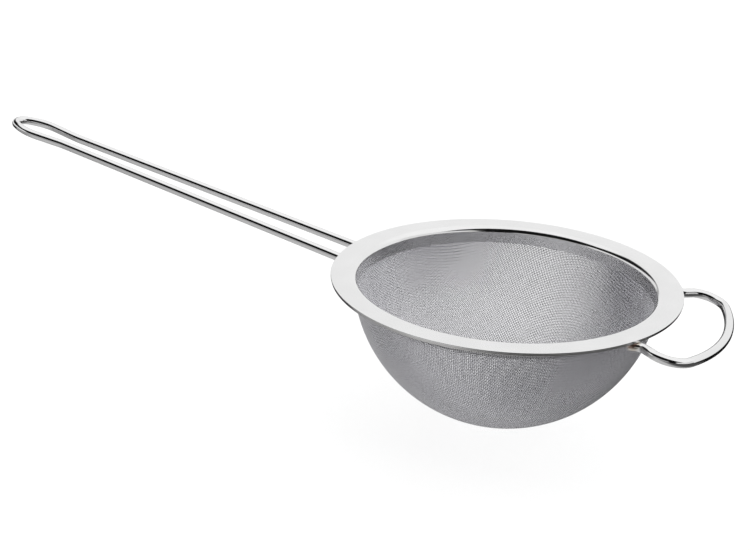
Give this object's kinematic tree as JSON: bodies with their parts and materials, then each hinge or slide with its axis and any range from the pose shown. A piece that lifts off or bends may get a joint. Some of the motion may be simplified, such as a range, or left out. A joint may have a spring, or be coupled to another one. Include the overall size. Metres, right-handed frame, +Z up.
{
  "type": "tea strainer",
  "caption": "Hand tea strainer: hemispherical bowl of woven steel wire in a flat polished rim, with a long looped wire handle and a wire rest on the opposite side.",
  "frame": {"origin": "centre of the flat underside of the rim, where it lies on the lip of a cup", "axes": "+Z up out of the mouth, -X along the handle, +X towards the rest"},
  "size_m": [0.2224, 0.093, 0.0586],
  "materials": {
    "rim_steel": "polished stainless steel sheet",
    "clamp_steel": "satin stainless steel sheet",
    "woven_wire": "plain-woven stainless steel wire cloth",
    "round_wire": "polished drawn stainless steel wire",
    "weld_metal": "fused weld metal with a faint straw heat tint"
  },
  "bodies": {
    "root": {"rim_ring": "rim_steel", "clamp_ring": "clamp_steel", "mesh_bowl": "woven_wire", "handle_wire": "round_wire", "rest_wire": "round_wire", "handle_weld_left": "weld_metal", "handle_weld_right": "weld_metal", "rest_weld_left": "weld_metal", "rest_weld_right": "weld_metal"}
  },
  "joints": []
}
